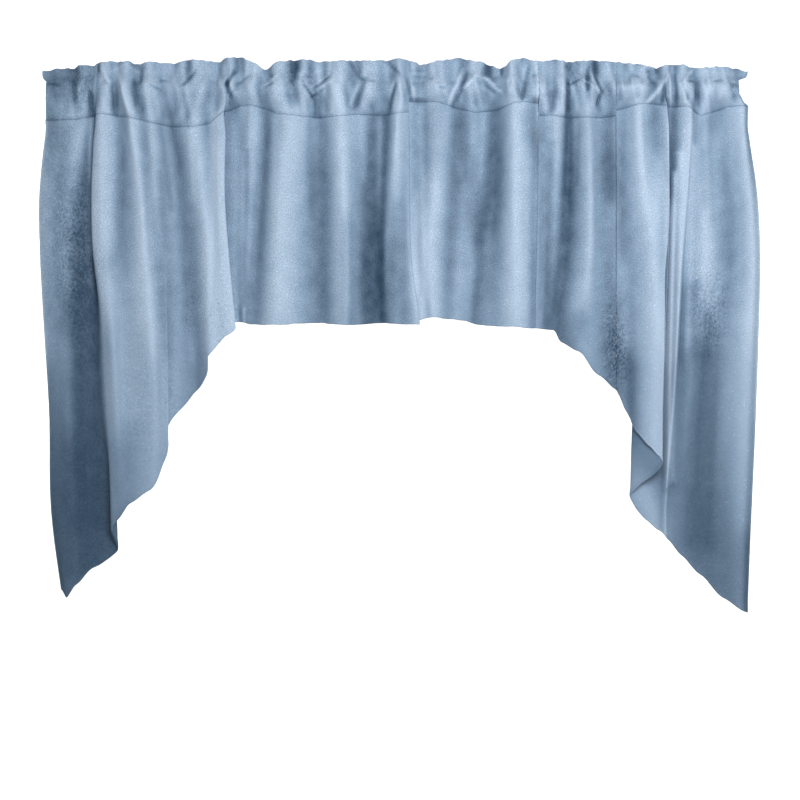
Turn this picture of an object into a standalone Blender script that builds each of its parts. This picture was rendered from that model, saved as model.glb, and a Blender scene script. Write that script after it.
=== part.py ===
import bpy
from collections import namedtuple
from math import cos, hypot, pi

MM = 0.001

# Swag and tail drape, hung from a rod pocket. The origin is the pocket's axis at mid-width, the front
# faces -Y, +X is to the right seen from the front, and all the sizes below are in millimetres.

# Driving sizes
ROD_RADIUS = 12.5          # the largest rod that the pocket takes
POCKET_RADIUS = ROD_RADIUS + 2.7   # outer face of the pocket's wall around that rod
CLOTH = 1.2                # modelled thickness of the cloth
ROUND = 4.0                # half the height over which the pocket's wall runs straight past the rod
SHOULDER = 10.6            # height above and below the axis at which that wall has turned in
SLACK = 4.0                # how far it has turned in there
LOW_SHARE = 0.42           # how much of its depth is left half way down to the lower sewing
NECK = 3.4                 # the two layers of cloth, where they are sewn together
HEADER_SEAM = 16.0         # height of the sewing between the rod pocket and the ruffle
GAP = 0.3                  # from each edge to the join between two cloths that are sewn together
SEWING_GAP = 0.6           # from the heading's foot down to the panel sewn under it
SEWING_EASE = 3.0          # the panel's edge keeps under the sewing this far to each side of it
RUFFLE_SWING = 1.3         # how far the ruffle swings for each millimetre of bulge in the pocket
RUFFLE_REST = 5.0          # where the ruffle stands over a valley, behind the rod's axis
SEAM_SWING = 0.4           # share of that swing at the upper sewing
FAN_SWING = 0.9            # share of it half way up the ruffle
FAN_EXTRA = 0.8            # the ruffle's two layers stand this much further apart half way up
CREST_SHARE = 0.8          # and this share of their distance is left at the crest
BACK_BULGE = 0.7           # the back of the pocket bulges less than its front
PANEL_ROWS = {"left": 15, "centre": 8, "gore": 9, "right": 16}
STEP_ACROSS = 16.0         # about how far apart the columns of a panel are
EDGE_RUN = 15.0            # how far past its outer edges the cloth's line is thought to run on
CLOTH_COLOUR = (0.31, 0.44, 0.61, 1.0)
CLOTH_ROUGHNESS = 0.62

# Heights at which a fold's place is given
LEVELS = (-60, -165, -270, -380, -530, -690, -840)
# Heights at which a fold's depth is given
DEPTH_LEVELS = (-60, -380, -690)

# One row for each fold line, from left to right along the cloth.
#   x      its place at each of the heights in LEVELS, as far down as it reaches
#   depth  how far it lies behind the rod's axis at the heights in DEPTH_LEVELS; a ridge is negative
#   hem    height at which the hem crosses it
Fold = namedtuple("Fold", "name x depth hem")

LEFT_PANEL = (
    Fold("outer edge", (-586, -597, -596, -590, -581, -578, -559), (4, 2, 4), -823),
    Fold("outer swell", (-558, -572, -573, -570, -565, -562, -551), (-5, -3, -2), -837),
    Fold("outer ridge", (-528, -548, -552, -549, -546, -541, -533), (-9, -6, -5), -816),
    Fold("deep valley", (-510, -516, -521, -522, -521, -511, -505), (9, 12, 13), -788),
    Fold("outer tail turns under", (-500, -502, -501, -504, -499, -471, -469), (9, 11, 11), -759),
    Fold("inner tail edge", (-505, -510, -507, -492, -483, -478, -474), (-1, -3, -5), -724),
    Fold("first ridge", (-493, -494, -488, -477, -467, -464, -462), (-10, -12, -13), -706),
    Fold("first valley", (-460, -459, -462, -460, -454, -444), (4, -3, -12), -681),
    Fold("second ridge", (-443, -429, -421, -414, -402, -410), (-9, -14, -16), -657),
    Fold("step", (-424, -416, -408, -399, -391, -388), (0, -5, -9), -612),
    Fold("tail bulge", (-412, -403, -393, -385, -382), (-4, -6, -9), -590),
    Fold("tail waist", (-400, -390, -384, -383, -385), (-2, -2, -4), -559),
    Fold("tail slope", (-391, -377, -370, -366, -368), (1, 2, 1), -531),
    Fold("third valley", (-376, -360, -352, -345, -333), (7, 9, 6), -494),
    Fold("broad ridge left", (-340, -328, -318, -318, -318), (-6, -11, -14), -464),
    Fold("broad ridge", (-316, -313, -308, -312, -324), (0, -12, -15), -438),
    Fold("broad ridge right", (-298, -298, -294, -288), (-10, -15, -18), -406),
    Fold("tail edge over centre", (-287, -289, -282, -271), (-8, -13, -15), -394),
    Fold("centre turns under", (-293, -297, -292, -287), (0, 0, 0), -383),
    Fold("small valley", (-267, -271, -271, -267), (6, 7, 6), -381),
    Fold("small ridge", (-246, -253, -256, -259), (-4, 3, 6), -382),
    Fold("fourth valley", (-223, -232, -240, -249), (8, 9, 8), -384),
    Fold("fourth ridge", (-182, -198, -201, -207), (-11, -13, -14), -386),
    Fold("fifth valley", (-131, -130, -131, -129), (6, 6, 6), -383),
    Fold("fifth ridge", (-99, -94, -89, -90), (-9, -12, -13), -387),
    Fold("fifth drop", (-78, -77, -76, -76), (-1, 0, 0), -386),
    Fold("sixth valley", (-25, -35, -40, -38), (11, 13, 14), -383),
    Fold("sixth ridge", (-5, -13, -20, -16), (-8, -5, -2), -384),
    Fold("before first join", (6, 6, 6, 8), (-3, -2, 1), -385),
    Fold("first join", (15, 16, 18, 32), (1, -8, -12), -385),
)
CENTRE_PANEL = (
    Fold("first join", (15, 16, 18, 32), (1, -8, -12), -378),
    Fold("join valley", (34, 31, 30, 43), (8, -8, -13), -375),
    Fold("seventh ridge", (63, 57, 48, 56), (-9, -13, -13), -374),
    Fold("seventh valley", (97, 92, 84, 80), (7, 0, -4), -376),
    Fold("low ridge", (124, 118, 110, 104), (-4, 0, 2), -379),
    Fold("eighth valley", (160, 155, 145, 128), (11, 13, 11), -385),
    Fold("eighth ridge", (188, 188, 190, 190), (-10, -14, -15), -390),
    Fold("eighth shoulder", (210, 210, 208, 208), (-5, -8, -10), -391),
    Fold("second join", (229, 228, 226, 224), (2, 4, 4), -392),
)
GORE = (
    Fold("second join", (229, 228, 226, 224), (2, 4, 4), -392),
    Fold("ninth ridge", (259, 251, 243, 238), (-6, 1, 4), -393),
    Fold("ninth valley", (279, 277, 271, 256), (10, 12, 11), -394),
    Fold("gore drop", (288, 287, 282, 265), (5, 7, 8), -413),
    Fold("tenth ridge", (310, 314, 312, 296), (-10, -13, -14), -430),
    Fold("tenth drop", (325, 327, 327, 326), (-1, -2, -2), -467),
    Fold("third join", (357, 358, 358, 358), (4, 5, 3), -493),
)
RIGHT_PANEL = (
    Fold("third join", (357, 358, 358, 358), (4, 5, 3), -493),
    Fold("join hollow", (368, 368, 370, 372, 375), (5, 5, 0), -531),
    Fold("rise", (380, 384, 395, 396, 389), (-1, -4, -8), -563),
    Fold("eleventh ridge", (393, 404, 418, 420, 410), (-9, -14, -17), -586),
    Fold("eleventh valley", (419, 425, 433, 430, 425), (1, -15, -19), -602),
    Fold("overlap edge", (443, 444, 442, 437, 432), (-10, -18, -21), -615),
    Fold("hidden layer", (440, 437, 430, 419, 409, 406), (-4, -6, -5), -642),
    Fold("hidden turn", (437, 429, 416, 400, 386, 381), (3, 6, 8), -670),
    Fold("back layer", (443, 439, 432, 421, 411, 407), (9, 13, 14), -708),
    Fold("fold valley", (450, 450, 450, 446, 439, 428), (8, 12, 12), -726),
    Fold("twelfth ridge", (479, 474, 466, 460, 450, 439), (-8, -2, 2), -736),
    Fold("twelfth drop", (487, 480, 472, 466, 457, 446), (1, 5, 8), -743),
    Fold("broad hollow", (503, 503, 503, 490, 477, 467), (0, -2, 9), -768),
    Fold("twelfth valley", (521, 533, 536, 520, 503, 497), (8, 10, 12), -799),
    Fold("tail rise", (546, 557, 562, 553, 542, 532, 533), (-1, -1, 0), -837),
    Fold("edge ridge", (566, 577, 583, 580, 573, 566, 563), (-8, -9, -8), -857),
    Fold("outer edge", (575, 591, 596, 594, 589, 582, 576), (1, 0, 2), -862),
)

# One row for each fold of a heading, from left to right. At the foot it follows the panel's own folds.
#   crest, x, foot  its place at the ruffle's crest, at the rod and at the pocket's lower sewing
#   bulge           how far it stands off the rod in front
#   top, sewing     heights of the crest and of the lower sewing
Gather = namedtuple("Gather", "crest x foot bulge top sewing")

LEFT_HEADING = (
    Gather(-592, -584, -584, 2, 33, -48),
    Gather(-565, -562, -561, 1, 38, -48),
    Gather(-538, -538, -536, 0, 38, -48),
    Gather(-527, -528, -528, 6, 43, -47),
    Gather(-511, -510, -510, 0, 42, -40),
    Gather(-489, -488, -492, 8, 48, -38),
    Gather(-468, -467, -463, 1, 49, -41),
    Gather(-452, -454, -446, 8, 48, -44),
    Gather(-434, -432, -425, 1, 45, -48),
    Gather(-415, -417, -412, 8, 48, -52),
    Gather(-378, -381, -379, 0, 46, -58),
    Gather(-339, -338, -339, 7, 51, -59),
    Gather(-301, -304, -314, 1, 49, -53),
    Gather(-283, -285, -293, 9, 54, -36),
    Gather(-264, -264, -266, 1, 57, -24),
    Gather(-250, -249, -248, 8, 49, -23),
    Gather(-221, -224, -224, 0, 37, -28),
    Gather(-203, -203, -201, 8, 48, -38),
    Gather(-176, -177, -179, 3, 51, -40),
    Gather(-157, -158, -160, 8, 51, -42),
    Gather(-131, -132, -131, 0, 49, -43),
    Gather(-104, -106, -101, 8, 49, -42),
    Gather(-71, -71, -69, 1, 51, -38),
    Gather(-53, -54, -50, 7, 50, -38),
    Gather(-20, -21, -24, 0, 51, -38),
    Gather(-2, -2, -4, 9, 52, -37),
    Gather(15, 15, 15, 4, 50, -34),
)
CENTRE_HEADING = (
    Gather(15, 15, 15, 4, 50, -17),
    Gather(36, 30, 33, 0, 44, -17),
    Gather(63, 63, 63, 9, 49, -19),
    Gather(95, 94, 97, 0, 55, -28),
    Gather(125, 125, 124, 8, 49, -36),
    Gather(168, 158, 160, 0, 38, -30),
    Gather(186, 187, 188, 9, 50, -20),
    Gather(204, 203, 207, 3, 54, -18),
    Gather(229, 229, 229, 7, 49, -20),
)
GORE_HEADING = (
    Gather(229, 229, 229, 7, 49, -40),
    Gather(253, 252, 249, 2, 51, -40),
    Gather(268, 267, 263, 8, 50, -42),
    Gather(279, 279, 279, 0, 49, -43),
    Gather(314, 313, 310, 9, 50, -44),
    Gather(330, 328, 330, 1, 50, -44),
    Gather(357, 357, 357, 2, 47, -40),
)
RIGHT_HEADING = (
    Gather(357, 357, 357, 2, 47, -31),
    Gather(393, 393, 393, 9, 44, -22),
    Gather(424, 417, 419, 1, 38, -21),
    Gather(440, 438, 443, 9, 43, -25),
    Gather(449, 449, 451, 0, 43, -25),
    Gather(464, 464, 476, 8, 43, -26),
    Gather(490, 493, 497, 0, 39, -41),
    Gather(532, 533, 540, 6, 40, -26),
    Gather(556, 553, 556, 2, 37, -25),
    Gather(576, 559, 572, 2, 33, -25),
)

PANELS = {"left": LEFT_PANEL, "centre": CENTRE_PANEL, "gore": GORE, "right": RIGHT_PANEL}
HEADINGS = {"left": LEFT_HEADING, "centre": CENTRE_HEADING, "gore": GORE_HEADING, "right": RIGHT_HEADING}
PANEL_NAMES = {"left": "panel_left", "centre": "panel_centre", "gore": "panel_gore", "right": "panel_right"}


def glide(stations, values, where):
    """Smooth value at one station, through all the given ones and level beyond the ends."""
    count = len(values)
    if where >= stations[0]:
        return values[0]
    if where <= stations[count - 1]:
        return values[count - 1]
    i = max(k for k in range(count - 1) if stations[k] >= where)
    run = stations[i + 1] - stations[i]
    slope = [0.0, 0.0]
    for side in (0, 1):
        low = max(i + side - 1, 0)
        high = min(i + side + 1, count - 1)
        slope[side] = (values[high] - values[low]) / (stations[high] - stations[low]) * run
    t = (where - stations[i]) / run
    start = values[i] * (1 + 2 * t) * (1 - t) ** 2 + slope[0] * t * (1 - t) ** 2
    end = values[i + 1] * (3 - 2 * t) * t * t - slope[1] * t * t * (1 - t)
    return start + end


def fold_at(fold, z):
    """Place across and depth of a fold line at one height."""
    return glide(LEVELS, fold.x, z), glide(DEPTH_LEVELS, fold.depth, z)


def curve_through(before, start, end, after, t):
    """Point of the centripetal curve between start and end, rounded by the points around them."""
    points = (before, start, end, after)
    knots = [0.0]
    for a, b in zip(points, points[1:]):
        knots.append(knots[-1] + max(hypot(b[0] - a[0], b[1] - a[1]), 0.01) ** 0.5)
    where = knots[1] + (knots[2] - knots[1]) * t

    def blend(p, q, from_knot, to_knot):
        share = (where - from_knot) / (to_knot - from_knot)
        return tuple(a + (b - a) * share for a, b in zip(p, q))

    first = [blend(points[k], points[k + 1], knots[k], knots[k + 1]) for k in range(3)]
    second = [blend(first[k], first[k + 1], knots[k], knots[k + 2]) for k in range(2)]
    return blend(second[0], second[1], knots[1], knots[2])


def soften(a, b, t):
    """Value between a and b that leaves and arrives level."""
    return a + (b - a) * (1 - cos(pi * t)) / 2


def sewing_height(heading, x):
    """Height of the pocket's lower sewing at one place across, straight between the heading's columns."""
    for a, b in zip(heading, heading[1:]):
        if x <= b.foot:
            t = min(max((x - a.foot) / (b.foot - a.foot), 0.0), 1.0)
            return a.sewing + (b.sewing - a.sewing) * t
    return heading[-1].sewing


def cloth_line():
    """Every fold line of the drape once, from left to right, so that the joins run on smoothly."""
    line = list(LEFT_PANEL)
    for panel in (CENTRE_PANEL, GORE, RIGHT_PANEL):
        line += panel[1:]
    return line


def panel_columns(side):
    """Stations along one panel: the place in the whole cloth's line and the share of the way on."""
    panel = PANELS[side]
    columns = []
    for i, (a, b) in enumerate(zip(panel, panel[1:])):
        width = max(abs(q - p) for p, q in zip(a.x, b.x))
        steps = min(max(round(width / STEP_ACROSS), 2), 4)
        columns += [(i, k / steps) for k in range(steps)]
    return columns + [(len(panel) - 2, 1.0)]


def section_point(side, i, t, z):
    """Point of a panel's level section, between its fold lines i and i + 1."""
    line = cloth_line()
    here = line.index(PANELS[side][i + 1]) - 1
    around = []
    for k in range(here - 1, here + 3):
        inside = min(max(k, 0), len(line) - 1)
        x, y = fold_at(line[inside], z)
        around.append((x + (k - inside) * EDGE_RUN, y))
    return curve_through(*around, t)


def panel_point(side, i, t, down):
    """Point of the cloth at one column of a panel, and at one share of the way down to its hem."""
    panel = PANELS[side]
    top_x = section_point(side, i, t, LEVELS[0])[0]
    near = (top_x - SEWING_EASE, top_x, top_x + SEWING_EASE)
    top = min(sewing_height(HEADINGS[side], x) for x in near) - SEWING_GAP
    straight = panel[i].hem + (panel[i + 1].hem - panel[i].hem) * t
    hem = (straight + soften(panel[i].hem, panel[i + 1].hem, t)) / 2
    z = top + (hem - top) * down
    return *section_point(side, i, t, z), z


def grid_mesh(name, rows, closed=False):
    """Mesh through rows of points; a closed one joins each row's last point to its first."""
    across = len(rows[0])
    verts = [tuple(c * MM for c in point) for row in rows for point in row]
    faces = []
    for r in range(len(rows) - 1):
        for c in range(across if closed else across - 1):
            d = (c + 1) % across
            faces.append((r * across + c, (r + 1) * across + c, (r + 1) * across + d, r * across + d))
    mesh = bpy.data.meshes.new(name)
    mesh.from_pydata(verts, [], faces)
    mesh.validate()
    mesh.shade_smooth()
    return mesh


def cloth_material(name):
    material = bpy.data.materials.new(name)
    material.use_nodes = True
    shader = material.node_tree.nodes["Principled BSDF"]
    shader.inputs["Base Color"].default_value = CLOTH_COLOUR
    shader.inputs["Roughness"].default_value = CLOTH_ROUGHNESS
    shader.inputs["Metallic"].default_value = 0.0
    return material


def add_cloth(name, mesh, offset, collection):
    """Object from a single sheet, with the cloth's thickness put on by Solidify."""
    mesh.materials.append(cloth_material(name + "_cloth"))
    thing = bpy.data.objects.new(name, mesh)
    collection.objects.link(thing)
    wall = thing.modifiers.new("cloth", "SOLIDIFY")
    wall.thickness = CLOTH * MM
    wall.offset = offset
    return thing


def add_panel(side, collection):
    """One hanging panel, from just under the pocket's sewing to its hem."""
    rows = []
    count = PANEL_ROWS[side]
    columns = panel_columns(side)
    for r in range(count + 1):
        rows.append([panel_point(side, i, t, r / count) for i, t in columns])
    last = len(columns) - 1
    for row in rows:
        if side != "left":
            row[0] = (row[0][0] + GAP, row[0][1], row[0][2])
        if side != "right":
            row[last] = (row[last][0] - GAP, row[last][1], row[last][2])
    return add_cloth(PANEL_NAMES[side], grid_mesh(PANEL_NAMES[side], rows), 0.0, collection)


def foot_depth(x):
    """Depth of the hanging cloth straight under one place of the pocket's sewing."""
    line = sorted(fold_at(fold, LEVELS[0]) for fold in cloth_line())
    for a, b in zip(line, line[1:]):
        if x <= b[0]:
            t = min(max((x - a[0]) / (b[0] - a[0]), 0.0), 1.0)
            return soften(a[1], b[1], t)
    return line[-1][1]


def clear_of_rod(y, z):
    """The point itself, or the nearest one outside the pocket's round."""
    away = hypot(y, z)
    if away >= POCKET_RADIUS:
        return y, z
    return y * POCKET_RADIUS / away, z * POCKET_RADIUS / away


def heading_ring(crest, x, foot, bulge, top, sewing, depth):
    """Section of a heading, up its front, over the crest and down its back to the lower sewing."""
    half = NECK / 2
    swing = RUFFLE_REST - RUFFLE_SWING * bulge
    front = POCKET_RADIUS + bulge
    back = POCKET_RADIUS + bulge * BACK_BULGE
    low = min((sewing - SHOULDER) / 2, -SHOULDER - 2)
    low_front = clear_of_rod(depth / 2 - front * LOW_SHARE, low)
    low_back = clear_of_rod(depth / 2 + back * LOW_SHARE, low)
    seam = swing * SEAM_SWING
    fan = swing * FAN_SWING
    fan_half = half + FAN_EXTRA
    crest_half = half * CREST_SHARE
    fan_x = (x + crest) / 2
    low_x = (x + foot) / 2
    return [
        (foot, depth - half, sewing),
        (low_x, *low_front),
        (x, SLACK - front, -SHOULDER),
        (x, -front, -ROUND),
        (x, -front, ROUND),
        (x, SLACK - front, SHOULDER),
        (x, seam - half, HEADER_SEAM),
        (fan_x, fan - fan_half, (HEADER_SEAM + top) / 2),
        (crest, swing - crest_half, top),
        (crest, swing + crest_half, top),
        (fan_x, fan + fan_half, (HEADER_SEAM + top) / 2),
        (x, seam + half, HEADER_SEAM),
        (x, back - SLACK, SHOULDER),
        (x, back, ROUND),
        (x, back, -ROUND),
        (x, back - SLACK, -SHOULDER),
        (low_x, *low_back),
        (foot, depth + half, sewing),
    ]


def add_heading(side, collection):
    """One turned-over heading: a hollow rod pocket with its gathered ruffle above."""
    heading = HEADINGS[side]
    rows = []
    for a, b in zip(heading, heading[1:]):
        for t in (0.0, 0.5):
            across = [p + (q - p) * t for p, q in zip(a[:3], b[:3])]
            bulge, top = [soften(p, q, t) for p, q in zip(a[3:5], b[3:5])]
            sewing = sewing_height(heading, across[2])
            rows.append(heading_ring(*across, bulge, top, sewing, foot_depth(across[2])))
    rows.append(heading_ring(*heading[-1], foot_depth(heading[-1].foot)))
    if side != "left":
        rows[0] = [(x + GAP, y, z) for x, y, z in rows[0]]
    if side != "right":
        rows[-1] = [(x - GAP, y, z) for x, y, z in rows[-1]]
    mesh = grid_mesh("heading_" + side, rows, closed=True)
    return add_cloth("heading_" + side, mesh, -1.0, collection)


for leftover in list(bpy.data.objects):
    bpy.data.objects.remove(leftover, do_unlink=True)

drape = bpy.data.collections.new("swag_and_tail_drape")
bpy.context.scene.collection.children.link(drape)
for side in PANELS:
    add_panel(side, drape)
    add_heading(side, drape)
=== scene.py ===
import bpy
import math
import numpy as np
from collections import namedtuple
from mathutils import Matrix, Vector


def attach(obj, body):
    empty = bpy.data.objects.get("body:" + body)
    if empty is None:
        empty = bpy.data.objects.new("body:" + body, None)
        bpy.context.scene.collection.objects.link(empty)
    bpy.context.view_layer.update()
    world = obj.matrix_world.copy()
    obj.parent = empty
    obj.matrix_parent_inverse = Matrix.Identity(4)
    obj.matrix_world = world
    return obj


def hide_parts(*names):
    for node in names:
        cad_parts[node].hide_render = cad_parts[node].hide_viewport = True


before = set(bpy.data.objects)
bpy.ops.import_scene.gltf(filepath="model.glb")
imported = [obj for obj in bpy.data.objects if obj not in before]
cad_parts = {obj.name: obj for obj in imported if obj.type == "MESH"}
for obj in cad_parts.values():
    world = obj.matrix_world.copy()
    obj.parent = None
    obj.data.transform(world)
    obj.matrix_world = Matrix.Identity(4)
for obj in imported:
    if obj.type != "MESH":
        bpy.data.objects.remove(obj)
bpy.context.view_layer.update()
mm = 0.001
print("frame loaded", flush=True)

# Fold lines of the hanging cloth, the same as in the part's source, in millimetres
levels = (-60, -165, -270, -380, -530, -690, -840)  # heights of each x
depthLevels = (-60, -380, -690)  # heights of each depth
Fold = namedtuple("Fold", "name x depth hem")


def rowsOf(kind, table):  # rows with named columns
    return [kind(*row) for row in table]


leftPanel = rowsOf(Fold, (
    ("outer edge", (-586, -597, -596, -590, -581, -578, -559), (4, 2, 4), -823),
    ("outer swell", (-558, -572, -573, -570, -565, -562, -551), (-5, -3, -2), -837),
    ("outer ridge", (-528, -548, -552, -549, -546, -541, -533), (-9, -6, -5), -816),
    ("deep valley", (-510, -516, -521, -522, -521, -511, -505), (9, 12, 13), -788),
    ("outer tail turns under", (-500, -502, -501, -504, -499, -471, -469), (9, 11, 11), -759),
    ("inner tail edge", (-505, -510, -507, -492, -483, -478, -474), (-1, -3, -5), -724),
    ("first ridge", (-493, -494, -488, -477, -467, -464, -462), (-10, -12, -13), -706),
    ("first valley", (-460, -459, -462, -460, -454, -444), (4, -3, -12), -681),
    ("second ridge", (-443, -429, -421, -414, -402, -410), (-9, -14, -16), -657),
    ("step", (-424, -416, -408, -399, -391, -388), (0, -5, -9), -612),
    ("tail bulge", (-412, -403, -393, -385, -382), (-4, -6, -9), -590),
    ("tail waist", (-400, -390, -384, -383, -385), (-2, -2, -4), -559),
    ("tail slope", (-391, -377, -370, -366, -368), (1, 2, 1), -531),
    ("third valley", (-376, -360, -352, -345, -333), (7, 9, 6), -494),
    ("broad ridge left", (-340, -328, -318, -318, -318), (-6, -11, -14), -464),
    ("broad ridge", (-316, -313, -308, -312, -324), (0, -12, -15), -438),
    ("broad ridge right", (-298, -298, -294, -288), (-10, -15, -18), -406),
    ("tail edge over centre", (-287, -289, -282, -271), (-8, -13, -15), -394),
    ("centre turns under", (-293, -297, -292, -287), (0, 0, 0), -383),
    ("small valley", (-267, -271, -271, -267), (6, 7, 6), -381),
    ("small ridge", (-246, -253, -256, -259), (-4, 3, 6), -382),
    ("fourth valley", (-223, -232, -240, -249), (8, 9, 8), -384),
    ("fourth ridge", (-182, -198, -201, -207), (-11, -13, -14), -386),
    ("fifth valley", (-131, -130, -131, -129), (6, 6, 6), -383),
    ("fifth ridge", (-99, -94, -89, -90), (-9, -12, -13), -387),
    ("fifth drop", (-78, -77, -76, -76), (-1, 0, 0), -386),
    ("sixth valley", (-25, -35, -40, -38), (11, 13, 14), -383),
    ("sixth ridge", (-5, -13, -20, -16), (-8, -5, -2), -384),
    ("before first join", (6, 6, 6, 8), (-3, -2, 1), -385),
    ("first join", (15, 16, 18, 32), (1, -8, -12), -385),
))
centrePanel = rowsOf(Fold, (
    ("first join", (15, 16, 18, 32), (1, -8, -12), -378),
    ("join valley", (34, 31, 30, 43), (8, -8, -13), -375),
    ("seventh ridge", (63, 57, 48, 56), (-9, -13, -13), -374),
    ("seventh valley", (97, 92, 84, 80), (7, 0, -4), -376),
    ("low ridge", (124, 118, 110, 104), (-4, 0, 2), -379),
    ("eighth valley", (160, 155, 145, 128), (11, 13, 11), -385),
    ("eighth ridge", (188, 188, 190, 190), (-10, -14, -15), -390),
    ("eighth shoulder", (210, 210, 208, 208), (-5, -8, -10), -391),
    ("second join", (229, 228, 226, 224), (2, 4, 4), -392),
))
gore = rowsOf(Fold, (
    ("second join", (229, 228, 226, 224), (2, 4, 4), -392),
    ("ninth ridge", (259, 251, 243, 238), (-6, 1, 4), -393),
    ("ninth valley", (279, 277, 271, 256), (10, 12, 11), -394),
    ("gore drop", (288, 287, 282, 265), (5, 7, 8), -413),
    ("tenth ridge", (310, 314, 312, 296), (-10, -13, -14), -430),
    ("tenth drop", (325, 327, 327, 326), (-1, -2, -2), -467),
    ("third join", (357, 358, 358, 358), (4, 5, 3), -493),
))
rightPanel = rowsOf(Fold, (
    ("third join", (357, 358, 358, 358), (4, 5, 3), -493),
    ("join hollow", (368, 368, 370, 372, 375), (5, 5, 0), -531),
    ("rise", (380, 384, 395, 396, 389), (-1, -4, -8), -563),
    ("eleventh ridge", (393, 404, 418, 420, 410), (-9, -14, -17), -586),
    ("eleventh valley", (419, 425, 433, 430, 425), (1, -15, -19), -602),
    ("overlap edge", (443, 444, 442, 437, 432), (-10, -18, -21), -615),
    ("hidden layer", (440, 437, 430, 419, 409, 406), (-4, -6, -5), -642),
    ("hidden turn", (437, 429, 416, 400, 386, 381), (3, 6, 8), -670),
    ("back layer", (443, 439, 432, 421, 411, 407), (9, 13, 14), -708),
    ("fold valley", (450, 450, 450, 446, 439, 428), (8, 12, 12), -726),
    ("twelfth ridge", (479, 474, 466, 460, 450, 439), (-8, -2, 2), -736),
    ("twelfth drop", (487, 480, 472, 466, 457, 446), (1, 5, 8), -743),
    ("broad hollow", (503, 503, 503, 490, 477, 467), (0, -2, 9), -768),
    ("twelfth valley", (521, 533, 536, 520, 503, 497), (8, 10, 12), -799),
    ("tail rise", (546, 557, 562, 553, 542, 532, 533), (-1, -1, 0), -837),
    ("edge ridge", (566, 577, 583, 580, 573, 566, 563), (-8, -9, -8), -857),
    ("outer edge", (575, 591, 596, 594, 589, 582, 576), (1, 0, 2), -862),
))

# Folds of the turned-over headings, the same as in the part's source
Gather = namedtuple("Gather", "crest x foot bulge top sewing")
leftHeading = rowsOf(Gather, (
    (-592, -584, -584, 2, 33, -48),
    (-565, -562, -561, 1, 38, -48),
    (-538, -538, -536, 0, 38, -48),
    (-527, -528, -528, 6, 43, -47),
    (-511, -510, -510, 0, 42, -40),
    (-489, -488, -492, 8, 48, -38),
    (-468, -467, -463, 1, 49, -41),
    (-452, -454, -446, 8, 48, -44),
    (-434, -432, -425, 1, 45, -48),
    (-415, -417, -412, 8, 48, -52),
    (-378, -381, -379, 0, 46, -58),
    (-339, -338, -339, 7, 51, -59),
    (-301, -304, -314, 1, 49, -53),
    (-283, -285, -293, 9, 54, -36),
    (-264, -264, -266, 1, 57, -24),
    (-250, -249, -248, 8, 49, -23),
    (-221, -224, -224, 0, 37, -28),
    (-203, -203, -201, 8, 48, -38),
    (-176, -177, -179, 3, 51, -40),
    (-157, -158, -160, 8, 51, -42),
    (-131, -132, -131, 0, 49, -43),
    (-104, -106, -101, 8, 49, -42),
    (-71, -71, -69, 1, 51, -38),
    (-53, -54, -50, 7, 50, -38),
    (-20, -21, -24, 0, 51, -38),
    (-2, -2, -4, 9, 52, -37),
    (15, 15, 15, 4, 50, -34),
))
centreHeading = rowsOf(Gather, (
    (15, 15, 15, 4, 50, -17),
    (36, 30, 33, 0, 44, -17),
    (63, 63, 63, 9, 49, -19),
    (95, 94, 97, 0, 55, -28),
    (125, 125, 124, 8, 49, -36),
    (168, 158, 160, 0, 38, -30),
    (186, 187, 188, 9, 50, -20),
    (204, 203, 207, 3, 54, -18),
    (229, 229, 229, 7, 49, -20),
))
goreHeading = rowsOf(Gather, (
    (229, 229, 229, 7, 49, -40),
    (253, 252, 249, 2, 51, -40),
    (268, 267, 263, 8, 50, -42),
    (279, 279, 279, 0, 49, -43),
    (314, 313, 310, 9, 50, -44),
    (330, 328, 330, 1, 50, -44),
    (357, 357, 357, 2, 47, -40),
))
rightHeading = rowsOf(Gather, (
    (357, 357, 357, 2, 47, -31),
    (393, 393, 393, 9, 44, -22),
    (424, 417, 419, 1, 38, -21),
    (440, 438, 443, 9, 43, -25),
    (449, 449, 451, 0, 43, -25),
    (464, 464, 476, 8, 43, -26),
    (490, 493, 497, 0, 39, -41),
    (532, 533, 540, 6, 40, -26),
    (556, 553, 556, 2, 37, -25),
    (576, 559, 572, 2, 33, -25),
))

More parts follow.
